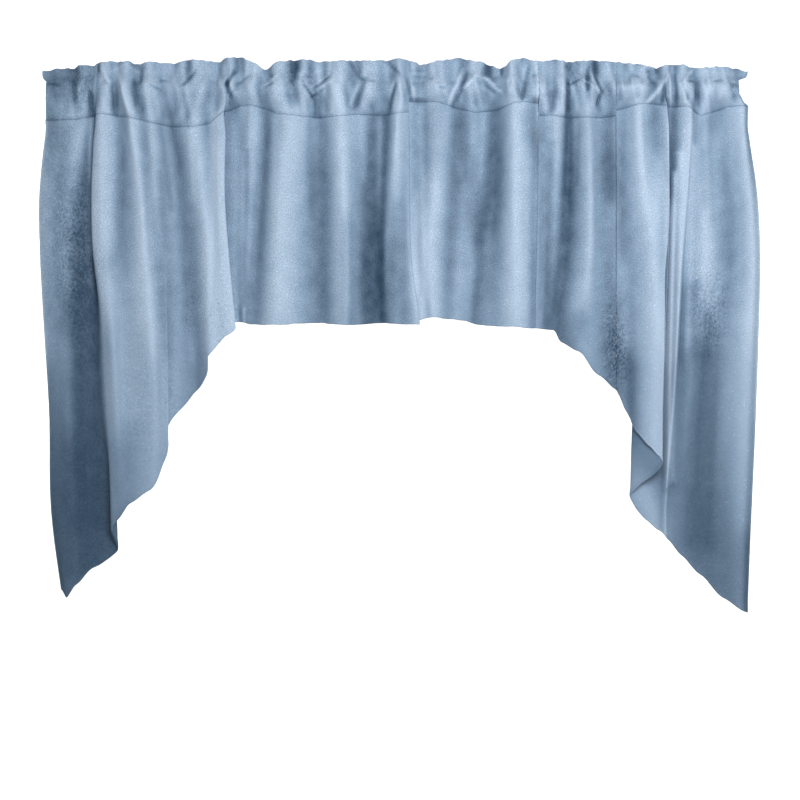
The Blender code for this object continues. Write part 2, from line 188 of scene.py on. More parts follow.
# Creases and ridges of the pocket and ruffle: x0, z0, x1, z1, width and depth, which is negative for a ridge
headingCreases = (
    (-578, 12, -564, 10, 4, 1.2), (-510, -8, -510, -41, 6, 3),
    (-498, 51, -498, 35, 3, 2.2), (-495, 41, -480, 16, 4, -2.6),
    (-488, 15, -482, 13, 3, 2), (-472, 36, -452, 45, 4, -1.6),
    (-452, 45, -432, 31, 4, -1.6), (-427, 38, -427, 18, 3.5, 2.6),
    (-464, 20, -449, -25, 9, -3), (-439, 15, -435, -16, 4, 2.6),
    (-472, 10, -470, -40, 7, 2.4), (-409, 8, -396, 2, 3, 1.6),
    (-394, 18, -388, 18, 3, 1.6), (-340, 30, -355, 12, 4, 2.2),
    (-350, 48, -350, 26, 7, 2), (-274, 31, -285, 12, 4.5, 3.4),
    (-285, 12, -279, -8, 4.5, 3.4), (-266, 58, -266, 41, 9, 2),
    (-239, 51, -239, 25, 9, -2.4), (-223, 48, -223, 30, 3, 2.6),
    (-218, 31, -210, 23, 2.5, 1.6), (-211, 20, -201, 28, 3, -1.6),
    (-224, 5, -211, 12, 3, 1.6), (-267, 12, -252, 23, 3, 1.6),
    (-284, -3, -277, -3, 3, 1.4), (-175, 56, -175, 26, 9, 2.4),
    (-167, 30, -160, 30, 4, -1.5), (-157, 26, -152, 25, 3, 2),
    (-137, 8, -119, 22, 3, 2.2), (-134, 2, -116, 15, 3, -1.4),
    (-157, 7, -144, -10, 3, 2.2), (-130, 0, -144, -10, 3, 2),
    (-137, -10, -137, -73, 8, 2.6), (-104, 18, -104, -35, 17, -3),
    (-64, 25, -79, -16, 3.5, -1.5), (-56, 20, -71, -20, 4, 1.5),
    (-81, 45, -64, 21, 3, 2.2), (-64, 21, -47, 17, 3, 2),
    (-21, 49, -3, 31, 4, 2.2), (-9, 5, -20, -38, 4, 2.6),
    (2, 12, 2, -35, 6, -1.8), (12, 15, 18, -16, 4, 1.7),
    (21, 35, 41, 35, 3, 1.3), (23, 25, 41, 25, 2.5, 1.2),
    (48, 20, 53, 20, 3, 1.5), (68, 5, 74, 5, 3, 1.4),
    (99, 26, 78, -30, 4, -2.6), (107, 20, 86, -31, 4, 2.2),
    (106, 7, 126, 26, 4, -2.4), (126, 26, 144, 20, 4, -2.4),
    (144, 20, 164, 0, 4, -2.4), (144, 7, 155, -2, 3, 1.6),
    (145, 43, 145, 26, 9, 2.2), (168, 46, 168, 30, 3, 2.2),
    (180, 45, 182, 23, 6, -2.4), (181, 18, 181, -2, 6, -2),
    (158, 7, 162, 5, 3, 1.5), (210, 30, 202, -12, 3.5, 2.6),
    (219, 26, 223, 26, 3, 1.5), (248, -7, 248, -33, 7, 2),
    (269, 12, 269, -31, 4, -2), (277, 12, 277, -31, 3, 2.4),
    (274, 41, 280, 40, 3, 1.6), (282, 12, 299, 21, 3, 1.8),
    (310, 33, 310, 5, 6, 2.4), (300, 20, 327, 0, 3, -1.8),
    (314, 30, 329, -3, 3, -1.8), (322, 48, 322, 31, 7, 1.8),
    (323, 21, 332, -2, 3, 2.2), (332, -2, 325, -21, 3, 2.2),
    (366, 5, 399, 5, 9, -2.4), (384, 26, 391, 25, 4, 2),
    (403, 41, 421, 41, 4, -2), (408, 31, 414, 30, 2.5, 2.4),
    (411, 23, 419, 15, 3, 1.8), (424, 48, 424, 33, 3, 2.2),
    (434, 41, 446, 41, 4, -1.5), (442, 23, 409, -21, 5, -3),
    (436, 10, 432, -26, 7, 2.8), (446, 20, 447, -35, 3, -2.4),
    (454, 18, 457, -38, 3.5, 2.4), (469, 12, 469, -35, 5, -1.8),
    (465, 11, 474, -12, 3, 1.8), (485, 36, 466, 15, 3, -2),
    (477, 16, 483, 16, 3, 1.6), (490, 13, 490, -7, 5, 2.4),
    (521, 17, 528, 17, 4, 1.8), (549, 9, 556, 9, 4, 1.8),
)
# Soft creases of the hanging cloth, in the same columns
bodyCreases = (
    (-150, -52, -146, -190, 8, 1.8), (-210, -50, -214, -160, 8, -1.6),
    (-240, -40, -247, -130, 5, 1.8), (-62, -44, -60, -130, 7, -1.4),
    (-47, -46, -48, -130, 5, 1.6), (-350, -64, -344, -160, 9, -1.8),
    (-395, -60, -380, -180, 6, 1.6), (-470, -46, -476, -200, 8, -1.6),
    (110, -34, 106, -130, 7, 1.5), (140, -40, 136, -130, 7, -1.4),
    (295, -46, 292, -140, 5, 1.3), (500, -34, 504, -170, 9, 2.6),
    (460, -130, 452, -620, 9, -6.0), (452, -150, 440, -640, 6, -8.0),
    (486, -110, 474, -400, 7, -2.5), (-254, -120, -257, -330, 8, 4.0),
    (-398, -160, -384, -480, 9, 2.5), (-14, -150, -16, -390, 12, 3.0),
    (33, -50, 38, -390, 8, -3.0), (116, -130, 106, -380, 13, 3.2),
    (250, -120, 240, -400, 11, 5.0), (427, -40, 440, -150, 8, 2.0),
    (404, -26, 410, -140, 6, 1.6), (512, -36, 520, -200, 8, 1.8),
    (500, -420, 486, -640, 9, -1.4), (520, -480, 508, -720, 9, 1.4),
)
# Short puckers along the third join: height, reach to each side and lift
seamPuckers = (
    (-352, 15, 0.5), (-371, 19, -0.6), (-385, 13, 0.6), (-404, 20, -0.5), (-417, 15, 0.5),
    (-436, 21, -0.6), (-452, 15, 0.6), (-469, 17, -0.4),
)
# Bands of painted light and painted shade, lighter or darker, with their reach to the left and right
Band = namedtuple("Band", "x0 z0 x1 z1 left right much")
paintedLightShadeBands = rowsOf(Band, (
    (-592, -60, -592, -420, 8, 12, 0.35), (-552, -60, -545, -380, 22, 20, -0.3),
    (-512, -60, -510, -240, 5, 6, 0.45), (-506, -330, -503, -430, 5, 5, -0.3),
    (-483, -290, -480, -420, 10, 14, -0.22), (-462, -320, -446, -520, 20, 20, 0.2),
    (-413, -150, -405, -420, 7, 7, 0.15), (-394, -60, -382, -420, 12, 12, -0.2),
    (-352, -150, -342, -420, 10, 10, 0.2), (-309, -60, -306, -420, 8, 8, 0.35),
    (-272, -70, -273, -380, 12, 14, 0.4), (-248, -30, -254, -190, 8, 8, -0.2),
    (-231, -70, -244, -370, 10, 9, 0.22), (-90, -230, -89, -380, 10, 10, -0.3),
    (-259, -260, -260, -370, 7, 6, -0.2), (-33, -60, -36, -380, 6, 5, 0.25),
    (-14, -200, -16, -390, 12, 25, -0.25), (33, -60, 30, -380, 10, 8, 0.2),
    (26, -200, 26, -310, 9, 9, 0.2), (66, -30, 62, -110, 14, 14, -0.3),
    (128, -30, 124, -240, 13, 12, -0.35), (99, -110, 90, -380, 14, 10, 0.06),
    (116, -255, 112, -380, 9, 9, 0.12), (148, -255, 143, -380, 14, 14, 0.28),
    (226, -160, 226, -380, 6, 6, 0.15), (227, 44, 227, -16, 3, 2, 0.3),
    (205, 0, 215, -70, 14, 16, -0.3), (250, -60, 238, -390, 14, 14, -0.2),
    (306, -60, 302, -380, 12, 12, -0.2), (343, -10, 350, -150, 22, 12, -0.3),
    (370, -300, 372, -400, 12, 10, 0.3), (425, -150, 425, -210, 10, 8, 0.25),
    (418, -115, 418, -190, 28, 20, 0.12), (449, -215, 446, -420, 9, 10, 0.65),
    (476, -100, 474, -420, 9, 10, 0.5), (490, -130, 488, -300, 12, 12, 0.15),
    (536, -190, 536, -290, 12, 12, 0.15), (524, -90, 518, -330, 16, 14, 0.35),
    (594, -60, 594, -520, 8, 12, 0.45), (-524, -340, -512, -700, 34, 24, -0.3),
    (-491, -340, -478, -700, 8, 12, 0.25), (-541, -600, -536, -790, 16, 16, -0.2),
    (-512, -600, -508, -790, 22, 18, -0.15), (-470, -600, -470, -740, 20, 26, -0.15),
    (-545, -380, -540, -480, 12, 12, -0.1), (-385, -400, -385, -560, 20, 20, 0.1),
    (290, -385, 285, -450, 20, 20, -0.35), (426, -380, 420, -600, 14, 12, 0.15),
    (446, -420, 442, -600, 12, 7, 0.4), (485, -330, 478, -420, 20, 24, -0.45),
    (400, -650, 425, -720, 26, 20, 0.35), (490, -450, 490, -740, 36, 40, -0.25),
    (575, -380, 570, -700, 24, 20, 0.15), (384, -460, 384, -560, 10, 14, -0.3),
    (-557, 8, -557, -26, 10, 10, 0.2), (-529, 28, -529, -26, 9, 7, -0.3),
    (-540, 5, -540, -24, 7, 6, 0.2), (-470, 32, -470, 10, 7, 7, 0.25),
    (-380, 34, -378, 12, 9, 9, 0.3), (-305, 35, -306, -24, 9, 9, 0.4),
    (-263, 34, -262, -16, 6, 8, 0.3), (-224, 34, -224, 16, 7, 7, 0.3),
    (-150, 34, -149, -4, 6, 6, -0.3), (-133, 36, -134, -2, 6, 8, 0.35),
    (-22, 34, -20, 16, 9, 8, 0.35), (41, 34, 38, -4, 8, 8, 0.25),
    (92, 36, 92, 12, 8, 8, 0.35), (206, 34, 204, -4, 8, 8, 0.4),
    (250, 34, 248, -8, 7, 7, 0.3), (338, 34, 338, -4, 10, 10, 0.3),
    (449, 34, 449, 2, 6, 6, 0.25), (500, 34, 505, 6, 12, 22, 0.35),
    (520, -310, 520, -360, 22, 22, 0.2),
))
# Zones of painted shade, darker: place, reach across and down, and how much
paintedShadeZones = (
    (-540, -720, 95, 260, 0.5), (-470, -720, 50, 110, 0.3),
    (-588, -330, 34, 140, 0.16), (-550, -250, 34, 150, 0.25),
    (279, -130, 9, 90, 0.3), (-585, -60, 60, 90, 0.15),
    (-556, 14, 38, 34, 0.42), (-8, 26, 7, 14, 0.35),
    (320, 40, 13, 14, 0.5), (309, 20, 9, 16, 0.35),
    (438, -4, 8, 20, 0.3), (-286, 8, 6, 20, 0.3),
    (146, 34, 14, 12, 0.3), (-175, 40, 14, 14, 0.25),
    (-38, -300, 26, 110, 0.6), (356, -430, 26, 95, 0.4),
    (560, -800, 70, 200, 0.35), (-300, -40, 30, 60, 0.2),
)
# Zones where the nap is crinkled like leather: place, reach across and down, and strength
crinkleZones = (
    (-545, -225, 46, 150, 0.55), (-518, 4, 22, 46, 0.8),
    (-305, -375, 42, 52, 0.9), (358, -415, 20, 78, 0.9),
    (513, -352, 28, 62, 1.0), (-150, 20, 60, 24, 0.5),
    (290, 18, 44, 26, 0.6), (560, 10, 26, 26, 0.6),
    (-420, -500, 60, 90, 0.35),
)

layout = {
    "frontRest": 11.0,  # front wall of the pocket over a valley
    "frontBulge": 1.15,
    "backRest": 15.2,
    "backBulge": 0.7,
    "round": 4.0,
    "shoulder": 10.6,
    "frontSlack": 2.2,
    "backSlack": 4.0,
    "lowShare": 0.42,
    "neck": 2.0,
    "headerSeam": 16.0,
    "seamWander": 3.2,
    "seamRest": -4.0,
    "swing": 1.3,
    "rest": 5.0,
    "seamBulge": 1.2,
    "fanSwing": 0.95,
    "fanExtra": 0.9,
    "crestShare": 0.9,
    "crestUneven": 1.4,
    "edgeRun": 15.0,
    "turnUnder": 6.0,  # cloth of the pocket's back below its sewing
    "forward": 6.0,  # how far the sewing is drawn towards the pocket's front
    "forwardRun": 100.0,
    "blendRun": 45.0,  # below the sewing, where the folds start to overlap
}
cloth = {
    "thickness": 0.5,
    "joinWidth": 1.4,
}
joinRoll = {  # how far the edge turns back at each panel's left and right join
    "left": (0, 0.8), "centre": (0.8, 0.9), "gore": (0.9, 1.5), "right": (1.5, 0),
}
Panel = namedtuple("Panel", "folds gathers first rows step free")  # step between columns, and its hemmed side
panels = {
    "left": Panel(leftPanel, leftHeading, 0, 84, 3.0, "start"),
    "centre": Panel(centrePanel, centreHeading, 29, 62, 2.4, ""),
    "gore": Panel(gore, goreHeading, 37, 72, 2.4, ""),
    "right": Panel(rightPanel, rightHeading, 43, 104, 2.4, "end"),
}
foldLine = leftPanel + centrePanel[1:] + gore[1:] + rightPanel[1:]
hemSteps = (0, 0.45, 1.0, 1.7, 2.5, 3.2, 3.9, 4.9, 6.5)  # from a hemmed edge
joinSteps = (0, 0.35, 0.8, 1.4, 2.2)  # from an edge sewn to the next cloth


def glide(stations, values, where):  # smooth value at each height, level beyond the ends
    down = -np.array(stations[:len(values)], float)
    value = np.array(values, float)
    last = len(value) - 1
    ahead = np.minimum(np.arange(last + 1) + 1, last)
    behind = np.maximum(np.arange(last + 1) - 1, 0)
    slope = (value[ahead] - value[behind]) / (down[ahead] - down[behind])
    place = np.clip(-where, down[0], down[last])
    i = np.clip(np.searchsorted(down, place) - 1, 0, last - 1)
    run = down[i + 1] - down[i]
    t = (place - down[i]) / run
    start = value[i] * (1 + 2 * t) * (1 - t) ** 2 + slope[i] * run * t * (1 - t) ** 2
    end = value[i + 1] * (3 - 2 * t) * t * t - slope[i + 1] * run * t * t * (1 - t)
    return start + end


def soften(a, b, t):  # leaves a and arrives at b level
    return a + (b - a) * (1 - np.cos(np.pi * t)) / 2


def smoothStep(t):
    t = np.clip(t, 0, 1)
    return t * t * (3 - 2 * t)


def curveThrough(points, t):  # centripetal curve between the second and third of four points
    knots = [np.zeros(t.shape)]
    for a, b in zip(points, points[1:]):
        knots.append(knots[-1] + np.maximum(np.linalg.norm(b - a, axis=-1), 0.01) ** 0.5)
    where = knots[1] + (knots[2] - knots[1]) * t

    def blend(p, q, i, j):
        share = ((where - knots[i]) / (knots[j] - knots[i]))[..., None]
        return p + (q - p) * share

    first = [blend(points[k], points[k + 1], k, k + 1) for k in range(3)]
    second = [blend(first[k], first[k + 1], k, k + 2) for k in range(2)]
    return blend(second[0], second[1], 1, 2)


def runningMean(values, reach):  # mean over the neighbours, with the ends held
    before = 2 * values[0] - values[reach:0:-1]
    after = 2 * values[-1] - values[-2:-reach - 2:-1]
    kernel = np.hanning(2 * reach + 3)[1:-1]
    return np.convolve(np.concatenate([before, values, after]), kernel / kernel.sum(), "valid")


def smoothed(side, values, far):  # mean over the columns as far as that to each side
    return np.apply_along_axis(runningMean, -1, values, max(round(far / panels[side].step), 1))


def latticeNoise(u, v, seed):  # smooth noise from -1 to 1, one value for each unit square
    table = np.random.default_rng(seed).uniform(-1, 1, (64, 64))
    iu = np.floor(u).astype(int)
    iv = np.floor(v).astype(int)
    fu = smoothStep(u - iu)
    fv = smoothStep(v - iv)
    low = table[iu % 64, iv % 64] * (1 - fu) + table[(iu + 1) % 64, iv % 64] * fu
    high = table[iu % 64, (iv + 1) % 64] * (1 - fu) + table[(iu + 1) % 64, (iv + 1) % 64] * fu
    return low * (1 - fv) + high * fv


sampleTop, sampleBottom = 70, -880
sampleZ = np.arange(sampleTop, sampleBottom, -1.0)
sampledX = np.array([glide(levels, fold.x, sampleZ) for fold in foldLine])
sampledY = np.array([glide(depthLevels, fold.depth, sampleZ) for fold in foldLine])


def foldPoint(index, z):  # x and depth of fold lines at heights
    place = np.clip(sampleTop - z, 0, len(sampleZ) - 1.001)
    i = place.astype(int)
    f = place - i
    x = sampledX[index, i] * (1 - f) + sampledX[index, i + 1] * f
    y = sampledY[index, i] * (1 - f) + sampledY[index, i + 1] * f
    return x, y


def clothPoint(before, share, z):  # point of the cloth between two fold lines, at heights z
    around = []
    for k in range(-1, 3):
        index = np.broadcast_to(before + k, z.shape)
        inside = np.clip(index, 0, len(foldLine) - 1)
        x, y = foldPoint(inside, z)
        around.append(np.stack([x + (index - inside) * layout["edgeRun"], y], -1))
    return curveThrough(around, np.broadcast_to(share, z.shape))


def columnsOf(side):  # for each column the fold line before, share of the way to the next and place along
    panel = panels[side]
    spans = len(panel.folds) - 1
    before, share, along = [], [], []
    run = 0.0
    for i in range(spans):
        here = panel.first + i
        z = np.linspace(-60, min(panel.folds[i].hem, -100), 9)
        t = np.linspace(0, 1, 7)
        spots = np.array([clothPoint(np.full(z.shape, here), np.full(z.shape, s), z) for s in t])
        width = np.linalg.norm(np.diff(spots, axis=0), axis=-1).sum(0).max()
        count = max(round(width / panel.step), 3)
        places = [k * width / count for k in range(count)]
        if i == 0:
            edge = hemSteps if panel.free == "start" else joinSteps
            places = [q for q in edge if q < width] + [q for q in places if q > edge[-1] + 0.8]
        if i == spans - 1:
            edge = hemSteps if panel.free == "end" else joinSteps
            places = [q for q in places if q < width - edge[-1] - 0.8]
            places += [width - q for q in reversed(edge) if 0 < q < width]
        before += [here] * len(places)
        share += [q / width for q in places]
        along += [run + q for q in places]
        run += width
    return np.array(before + [before[-1]]), np.array(share + [1.0]), np.array(along + [run])


def tableAt(rows, field, keys, x, soft=False):  # a column of a table at places across
    i = np.clip(np.searchsorted(keys, x) - 1, 0, len(keys) - 2)
    t = np.clip((x - keys[i]) / (keys[i + 1] - keys[i]), 0, 1)
    value = np.array([getattr(row, field) for row in rows], float)
    if soft:
        return soften(value[i], value[i + 1], t)
    return value[i] + (value[i + 1] - value[i]) * t


def seamHeight(x):  # the upper sewing wanders a little where it is gathered
    wander = latticeNoise(x / 14, x * 0, 52) + 0.4 * latticeNoise(x / 6, x * 0, 53)
    return layout["headerSeam"] + layout["seamWander"] * wander


def headingSection(side, foot, depth, sewing):  # control points of each column's section
    rows = panels[side].gathers
    keys = np.array([row.foot for row in rows], float)
    crest = smoothed(side, tableAt(rows, "crest", keys, foot), 9.6)
    x = smoothed(side, tableAt(rows, "x", keys, foot), 7.2)
    bulge = tableAt(rows, "bulge", keys, foot, soft=True)
    top = tableAt(rows, "top", keys, foot, soft=True)
    top = top + layout["crestUneven"] * (latticeNoise(crest / 5.5, crest * 0, 51) + 0.6)
    half = layout["neck"] / 2
    shoulder = layout["shoulder"]
    seam = seamHeight(x)
    swing = layout["rest"] - layout["swing"] * bulge
    front = layout["frontRest"] + bulge * layout["frontBulge"]
    back = layout["backRest"] + bulge * layout["backBulge"]
    low = np.minimum((sewing - shoulder) / 2, -shoulder - 2)
    fanX = x + (crest - x) * 0.85
    lowX = (x + foot) / 2
    middle = seam + (top - seam) * 0.42

    def clear(y, z, radius):
        far = np.maximum(radius / np.hypot(y, z), 1)
        return y * far, z * far

    same = np.ones(foot.shape)
    lowFront = clear(depth / 2 - front * layout["lowShare"], low, layout["frontRest"])
    lowBack = clear(depth / 2 + back * layout["lowShare"], low, layout["backRest"])
    seamY = layout["seamRest"] - bulge * layout["seamBulge"]
    fanY = swing * layout["fanSwing"]
    fanHalf = half + layout["fanExtra"]
    crestHalf = half * layout["crestShare"]
    wallUp = [
        (foot, depth, sewing),
        (lowX, *lowFront),
        (x + (foot - x) * 0.25, layout["frontSlack"] - front, -shoulder * same),
        (x, -front, -layout["round"] * same),
        (x, -front, layout["round"] * same),
        (x, (seamY - half) * 0.3 - front * 0.7, seam * 0.62),
        (x, seamY - half, seam),
    ]
    ruffle = [
        (x, seamY - half, seam),
        (fanX, fanY - fanHalf, middle),
        (crest, swing - crestHalf, top - 0.5),
        (crest, swing, top),
        (crest, swing + crestHalf, top - 0.5),
        (fanX, fanY + fanHalf, middle),
        (x, seamY + half, seam),
    ]
    wallDown = [
        (x, seamY + half, seam),
        (x, back - layout["backSlack"], shoulder * same),
        (x, back, layout["round"] * same),
        (x, back, -layout["round"] * same),
        (x, back - layout["backSlack"], -shoulder * same),
        (lowX, *lowBack),
        (foot, depth + half + 0.4, sewing),
        (foot, depth + half, sewing - layout["turnUnder"]),
    ]
    return [np.array([np.stack(point, -1) for point in part]) for part in (wallUp, ruffle, wallDown)]


def throughPoints(points, steps):  # rows along a smooth curve through control points, steps for each span
    rows = []
    last = len(points) - 1
    for i in range(last):
        before = points[max(i - 1, 0)] if i else 2 * points[0] - points[1]
        after = points[i + 2] if i + 2 <= last else 2 * points[last] - points[last - 1]
        for k in range(steps[i]):
            t = np.full(points[i].shape[:-1], k / steps[i])
            rows.append(curveThrough([before, points[i], points[i + 1], after], t))
    return rows + [points[last]]


def creaseLift(creases, x, z, trough=(1, 1), ridge=(1, 1)):  # how far the creases push the cloth back
    lift = np.zeros(x.shape)
    for x0, z0, x1, z1, width, depth in creases:
        wider, deeper = trough if depth > 0 else ridge
        width, depth = width * wider, depth * deeper
        reach = 3.2 * width
        near = ((x > min(x0, x1) - reach) & (x < max(x0, x1) + reach)
                & (z > min(z0, z1) - reach) & (z < max(z0, z1) + reach))
        if not near.any():
            continue
        px, pz = x[near] - x0, z[near] - z0
        dx, dz = x1 - x0, z1 - z0
        length = math.hypot(dx, dz)
        along = (px * dx + pz * dz) / length
        beside = (px * dz - pz * dx) / length
        past = np.maximum(np.maximum(-along, along - length), 0)
        tail = max(width * 1.2, length * 0.22)
        lift[near] += depth * np.exp(-(beside / width) ** 2 * 1.6 - (past / tail) ** 2)
    return lift


def bandTone(bands, x, z):  # how much painted light the bands add, and painted shade where it is negative
    tone = np.zeros(x.shape)
    for band in bands:
        dx, dz = band.x1 - band.x0, band.z1 - band.z0
        length = math.hypot(dx, dz)
        along = ((x - band.x0) * dx + (z - band.z0) * dz) / length
        beside = ((x - band.x0) * -dz + (z - band.z0) * dx) / length
        beside = np.where(beside < 0, beside / band.left, beside / band.right)
        past = np.maximum(np.maximum(-along, along - length), 0) / 30
        tone += band.much * np.exp(-beside ** 2 - past ** 2)
    return tone


def softFloor(tone):  # runs out gently towards 0
    return np.where(tone < 0.25, 0.25 * np.exp(np.minimum(tone / 0.25 - 1, 0)), tone)


def zoneStrength(zones, x, z):  # 0 to about 1 inside the zones
    strength = np.zeros(x.shape)
    for x0, z0, across, down, much in zones:
        far = ((x - x0) / across) ** 2 + ((z - z0) / down) ** 2
        strength = np.maximum(strength, much * np.exp(-far * 1.1))
    return strength


def crinkle(x, z):  # wavy ridges like the grain of soft leather
    warpX = latticeNoise(x / 17, z / 17, 31) * 5
    warpZ = latticeNoise(x / 15, z / 15, 32) * 5
    coarse = 1 - 2 * np.abs(latticeNoise((x + warpX) / 9, (z + warpZ) / 7, 33))
    fine = latticeNoise((x + warpX) / 5.5, (z + warpZ) / 5, 34)
    return coarse * 0.6 + fine * 0.4


def unevenness(x, z, sewing):  # soft uneven drape, more so in small pleats under the sewing
    soft = latticeNoise(x / 34, z / 130, 21) * 0.9
    below = np.clip((sewing - z) / 110, 0, 1)
    pleats = latticeNoise(x / 9, z / 150, 23) * 0.45 * (1 - below) ** 2
    return soft + pleats


def gathering(x, z, sewing):  # small pleats that run out from both rows of sewing, and the folds between them
    fromSeam = np.abs(z - seamHeight(x))
    fromSewing = np.abs(z - sewing)
    pinch = latticeNoise(x / 4.2, z / 60, 42) * 1.5 * np.exp(-fromSeam / 8)
    pinch += latticeNoise(x / 4.6 + 9, z / 60, 43) * 0.7 * np.exp(-fromSewing / 7)
    folds = latticeNoise((x + z * 0.22) / 7.5, z / 34, 44) * 1.7
    folds += latticeNoise((x - z * 0.3) / 13, z / 40, 45) * 1.5
    folds *= 1 - 0.8 * np.exp(-((x + 568) / 32) ** 2)
    return pinch + folds * smoothStep((z - sewing) / 14)


def pointNormals(grid):  # outward from the shown face: rows run up, columns to the right
    across = np.gradient(grid, axis=1)
    up = np.gradient(grid, axis=0)
    normal = np.cross(across, up)
    length = np.linalg.norm(normal, axis=-1, keepdims=True)
    return normal / np.maximum(length, 1e-9)


def panelGrid(side):  # rows of points from the hem up the front, over the crest and down the back
    panel = panels[side]
    before, share, along = columnsOf(side)
    folds = panel.folds
    columns = len(before)
    keys = np.array([row.foot for row in panel.gathers], float)
    atTop = clothPoint(before, share, np.full(columns, -60.0))
    forward = np.maximum.accumulate(atTop[:, 0])
    backward = np.minimum.accumulate(atTop[::-1, 0])[::-1]
    topX = smoothed(side, (forward + backward) / 2, 9.6)
    topX[0], topX[-1] = atTop[0, 0], atTop[-1, 0]
    sewing = smoothed(side, tableAt(panel.gathers, "sewing", keys, topX), 4.8)
    hems = np.array([fold.hem for fold in folds], float)
    i = before - panel.first
    hem = (soften(hems[i], hems[i + 1], share) + hems[i] + (hems[i + 1] - hems[i]) * share) / 2
    hem = smoothed(side, hem, 4.8)
    atHem = clothPoint(before, share, hem)[:, 0]
    hem += 0.8 * latticeNoise(atHem / 19, hem * 0, 61) + 0.4 * latticeNoise(atHem / 8, hem * 0, 62)
    slope = np.gradient(hem) / np.maximum(np.abs(np.gradient(atHem)), 0.4)
    stretch = np.minimum(smoothed(side, np.sqrt(1 + slope ** 2), 7.2), 3.5)

    upHem = np.array(hemSteps)[:, None]
    topSteps = np.array([4.4, 2.8, 1.6, 0.7, 0])
    low = hem + upHem * stretch
    high = sewing - topSteps[:, None]
    share01 = np.linspace(0, 1, panel.rows + 2)[1:-1, None]
    z = np.concatenate([low, low[-1] + (high[0] - low[-1]) * share01, high])
    fromHem = np.concatenate([
        np.broadcast_to(upHem, low.shape),
        np.full((panel.rows + len(topSteps), columns), 99.0),
    ])
    point = clothPoint(before, share, z)
    near = smoothStep(1 - (sewing - z) / layout["blendRun"])
    x = point[..., 0] * (1 - near) + topX * near
    depthTop = smoothed(side, atTop[:, 1], 2.4)
    depth = point[..., 1] * (1 - near) + depthTop * near
    depthTop = depthTop - layout["forward"]
    depth -= layout["forward"] * smoothStep(1 - (sewing - z) / layout["forwardRun"])
    body = np.stack([x, depth, z], -1)

    wallUp, ruffle, wallDown = headingSection(side, topX, depthTop, sewing)
    up = throughPoints(wallUp, (3, 4, 3, 2, 3, 4))[1:]
    over = throughPoints(ruffle, (6, 5, 2, 2, 3, 3))[1:]
    down = throughPoints(wallDown, (2, 2, 2, 2, 2, 2, 2))[1:]
    grid = np.concatenate([body, up, over, down])
    part = np.concatenate([
        np.zeros(len(body)), np.full(len(up), 1), np.full(len(over), 2), np.full(len(down), 3),
    ])[:, None]
    fromHem = np.concatenate([fromHem, np.full((len(grid) - len(body), columns), 99.0)])

    x, z = grid[..., 0], grid[..., 2]
    isBody = part == 0
    overSewing = z - sewing
    frontShare = np.where(part == 3, 0.3, 1.0)
    fadeIn = smoothStep((overSewing + 6) / 14)
    creased = creaseLift(headingCreases, x, z, trough=(1.0, 1.7), ridge=(1.1, 1.3)) * fadeIn * frontShare
    lift = creased.copy()
    lift += creaseLift(bodyCreases, x, z) * np.where(isBody, smoothStep(-overSewing / 10), 0)
    lift += unevenness(x, z, sewing) * np.where(isBody, 1, 0.6 * frontShare)
    lift += gathering(x, z, sewing) * np.where(isBody, 1, frontShare)
    puckers = np.zeros(x.shape)
    for height, reach, much in seamPuckers:
        away = np.abs(x - 358)
        slant = z - height + away * 0.35
        puckers += much * np.exp(-(slant / 4.5) ** 2 - (away / reach) ** 2)
    lift += puckers * isBody
    zone = zoneStrength(crinkleZones, x, z)
    lift += crinkle(x, z) * zone * frontShare
    ruffleSwing = latticeNoise(x / 7, z / 40, 41) * smoothStep((z - 18) / 24) * 1.3
    lift += np.where(part == 2, ruffleSwing, 0)
    groove = 1.15 * np.exp(-(overSewing / 1.3) ** 2) * np.where(part <= 1, 1, 0)
    groove -= 0.35 * np.exp(-((overSewing + 3.4) / 1.6) ** 2) * isBody
    valleyShare = smoothStep((latticeNoise(x / 7, z * 0, 54) + 0.3) / 0.9)
    atSeam = np.exp(-((z - seamHeight(x)) / 1.8) ** 2) * ((part == 1) | (part == 2))
    groove += 0.35 * valleyShare * atSeam
    lift += groove
    under = len(grid) - 3  # the turned-under end lies along the back of the hanging cloth
    bodyRows = len(body)
    for c in range(columns):
        at = z[under:, c]
        lift[under:, c] = np.interp(at, z[:bodyRows, c], grid[:bodyRows, c, 1] + lift[:bodyRows, c])
        lift[under:, c] += layout["neck"] * 0.6 - grid[under:, c, 1]
    return {
        "grid": grid, "lift": lift, "part": part, "zone": zone, "fromHem": fromHem,
        "along": along, "sewingRow": len(body) - 1, "creased": creased,
    }


beadAt = (0, 0.45, 1.0, 1.7, 2.5, 3.2, 3.9, 4.9)  # from the hem's edge
beadFront = (-0.75, -0.05, 0.32, 0.42, 0.34, 0.08, -0.22, 0)  # how far the shown face stands out
beadBack = (0.95, 1.3, 1.5, 1.5, 1.45, 1.2, 0.8, 0.5)  # how far the reverse lies behind


